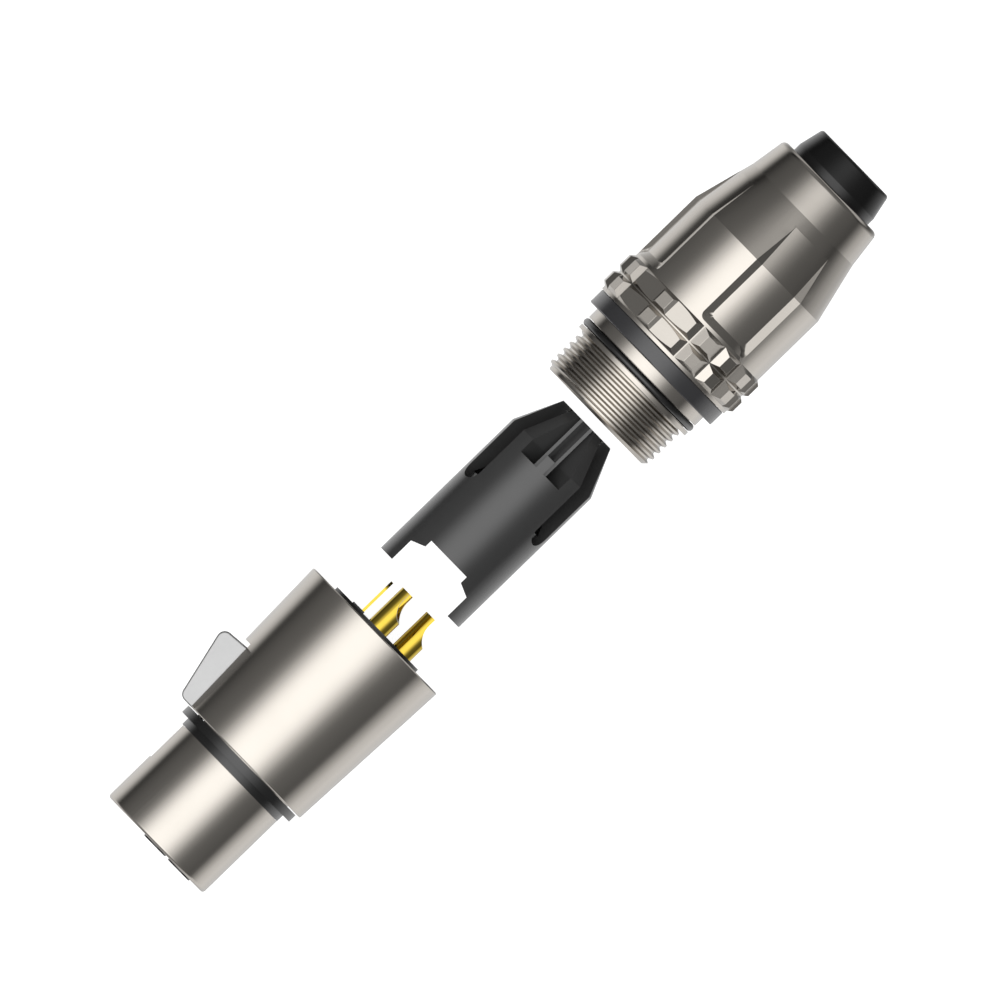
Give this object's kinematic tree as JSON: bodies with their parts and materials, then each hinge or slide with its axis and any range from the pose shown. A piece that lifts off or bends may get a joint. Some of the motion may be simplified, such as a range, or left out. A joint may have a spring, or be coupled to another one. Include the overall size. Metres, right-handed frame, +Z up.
{
  "type": "xlr connector",
  "caption": "Three-pole female metal cable connector, drawn apart: latched housing, cable chuck and screw-on sealed boot.",
  "frame": {"origin": "centre of the mating face, on the connector's axis", "axes": "+X along the axis from the mating face to the cable, +Y towards the latch, +Z up as it lies on its side"},
  "size_m": [0.114, 0.0232, 0.0214],
  "materials": {
    "nickel_plate": "satin nickel plate",
    "latch_metal": "satin nickel plate",
    "seal_rubber": "smooth moulded rubber",
    "gland_rubber": "matt moulded rubber",
    "gasket_rubber": "matt moulded ring",
    "insert_plastic": "moulded",
    "chuck_plastic": "moulded",
    "gold_plate": "gold plate",
    "spring_steel": "bright"
  },
  "bodies": {
    "housing": {"housing_shell": "nickel_plate", "shoulder_seal": "seal_rubber", "face_seal": "seal_rubber", "contact_insert": "insert_plastic", "insert_retainer": "insert_plastic", "contact_1": "gold_plate", "contact_2": "gold_plate", "contact_3": "gold_plate", "ground_tag": "gold_plate", "latch_pin": "spring_steel", "latch_spring": "spring_steel"},
    "latch": {"latch_lever": "latch_metal"},
    "chuck": {"cable_chuck": "chuck_plastic"},
    "gasket": {"flange_gasket": "gasket_rubber"},
    "boot": {"boot_shell": "nickel_plate", "boot_o_ring": "seal_rubber", "cable_gland": "gland_rubber"}
  },
  "joints": [
    {"name": "latch_press", "type": "hinge", "parent": "housing", "child": "latch", "pos_m": [0.0216, 0.0081, 0], "axis": [0, 0, 1], "range_deg": [0, 3.2], "stiffness_Nm_per_rad": 0.02, "springref_deg": -5.73, "deforming": ["latch_spring"]},
    {"name": "chuck_slide", "type": "slide", "parent": "housing", "child": "chuck", "axis": [1, 0, 0], "range_m": [-0.00677, 0]},
    {"name": "boot_slide", "type": "slide", "parent": "chuck", "child": "gasket", "axis": [1, 0, 0], "range_m": [-0.03785, 0]},
    {"name": "boot_turn", "type": "hinge", "parent": "gasket", "child": "boot", "pos_m": [0.0804, 0, 0], "axis": [1, 0, 0], "continuous": true}
  ]
}
